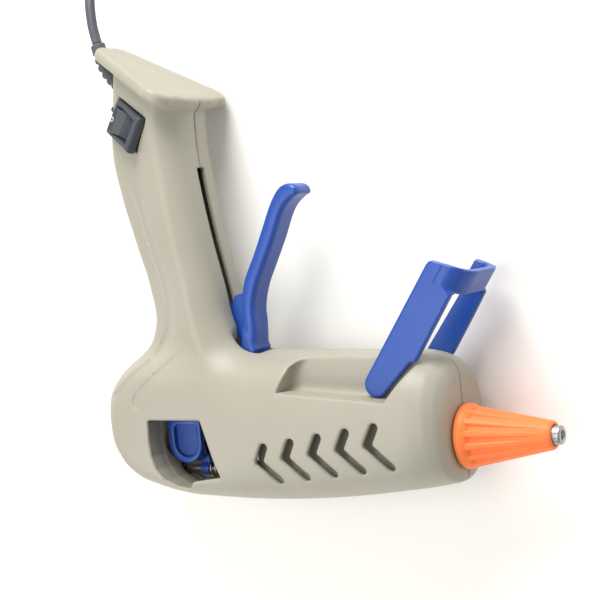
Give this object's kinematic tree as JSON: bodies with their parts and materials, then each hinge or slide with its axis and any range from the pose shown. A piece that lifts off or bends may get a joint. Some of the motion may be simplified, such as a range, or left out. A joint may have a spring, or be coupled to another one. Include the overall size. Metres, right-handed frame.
{
  "type": "hot melt glue gun",
  "caption": "Hot melt glue gun lying on its side, with ribbed nozzle cover, lever trigger, folding stand, rocker switch, feed windows and a coiled mains cord with plug.",
  "frame": {"origin": "centre of the gun's bounding box at the bottom, without the cord, where it rests on its right side", "axes": "+X along the nozzle axis towards the tip, +Y towards the foot of the handle, +Z towards the gun's left side"},
  "size_m": [0.2045, 0.3102, 0.048],
  "materials": {
    "case": "satin grey-beige ABS",
    "blue": "glossy blue nylon",
    "orange": "orange silicone",
    "steel": "plated steel",
    "aluminium": "cast",
    "black": "dark grey plastic",
    "rubber": "grey PVC",
    "brass": "plain",
    "silicone": "silicone",
    "ceramic": "fired ceramic",
    "white": "glass-fibre sleeve"
  },
  "bodies": {
    "housing": {"case_screw_1": "steel", "case_screw_2": "steel", "case_screw_3": "steel", "case_screw_4": "steel", "case_screw_5": "steel", "case_screw_6": "steel", "chamber_ring_front": "ceramic", "chamber_ring_rear": "ceramic", "check_spring": "steel", "cord_coil": "rubber", "cord_tail": "rubber", "cord_tie": "black", "feed_sleeve": "silicone", "guide_rod": "steel", "heater_clip": "steel", "heating_chamber": "aluminium", "indicator_lens": "black", "inlet_guide": "black", "lead_heater": "silicone", "lead_live": "silicone", "lead_neutral": "silicone", "lead_switched": "silicone", "left_shell": "case", "mains_plug": "rubber", "nozzle": "steel", "nozzle_cover": "orange", "plug_pin_left": "brass", "plug_pin_right": "brass", "power_cord": "rubber", "ptc_heater": "ceramic", "return_spring": "steel", "right_shell": "case", "sleeve_clamp": "steel", "stand_pin_left": "steel", "stand_pin_right": "steel", "strain_relief": "rubber", "switch_body": "black", "switch_terminal_1": "brass", "switch_terminal_2": "brass", "thermal_fuse": "white", "trigger_pin": "steel"},
    "trigger": {"trigger": "blue", "fork_pin_left": "steel", "fork_pin_right": "steel"},
    "link": {"link_arm": "steel"},
    "carriage": {"feed_carriage": "blue", "carriage_pin_left": "steel", "carriage_pin_right": "steel", "jaw_pin": "steel"},
    "jaw": {"grip_jaw": "steel"},
    "stand": {"stand": "blue"},
    "rocker": {"switch_rocker": "black"},
    "ball": {"check_ball": "steel"}
  },
  "joints": [
    {"name": "trigger_pull", "type": "hinge", "parent": "housing", "child": "trigger", "pos_m": [-0.0317, -0.04332, 0.024], "axis": [0, 0, 1], "range_deg": [0, 13], "stiffness_Nm_per_rad": 2, "springref_deg": -8.59},
    {"name": "link_swing", "type": "hinge", "parent": "trigger", "child": "link", "pos_m": [-0.0357, -0.06432, 0.024], "axis": [0, 0, 1], "range_deg": [-13, 0]},
    {"name": "carriage_feed", "type": "slide", "parent": "housing", "child": "carriage", "axis": [1, 0, 0], "range_m": [0, 0.00483], "deforming": ["return_spring"]},
    {"name": "jaw_bite", "type": "hinge", "parent": "carriage", "child": "jaw", "pos_m": [-0.0623, -0.05672, 0.024], "axis": [0, 0, 1], "range_deg": [0, 3]},
    {"name": "stand_fold", "type": "hinge", "parent": "housing", "child": "stand", "pos_m": [0.0308, -0.04882, 0.024], "axis": [0, 0, 1], "range_deg": [0, 100]},
    {"name": "switch_rock", "type": "hinge", "parent": "housing", "child": "rocker", "pos_m": [-0.07318, 0.05715, 0.03426], "axis": [-0.5225, -0.8526, 0], "range_deg": [0, 16]},
    {"name": "check_ball_lift", "type": "slide", "parent": "housing", "child": "ball", "axis": [1, 0, 0], "range_m": [0, 0.0015], "stiffness_N_per_m": 40, "springref_m": -0.001, "deforming": ["check_spring"]}
  ],
  "couplings": [
    {"joint": "link_swing", "follows": "trigger_pull", "ratio": -1},
    {"joint": "carriage_feed", "follows": "trigger_pull", "m_per_rad": 0.02127},
    {"joint": "jaw_bite", "follows": "trigger_pull", "ratio": 0.2}
  ]
}
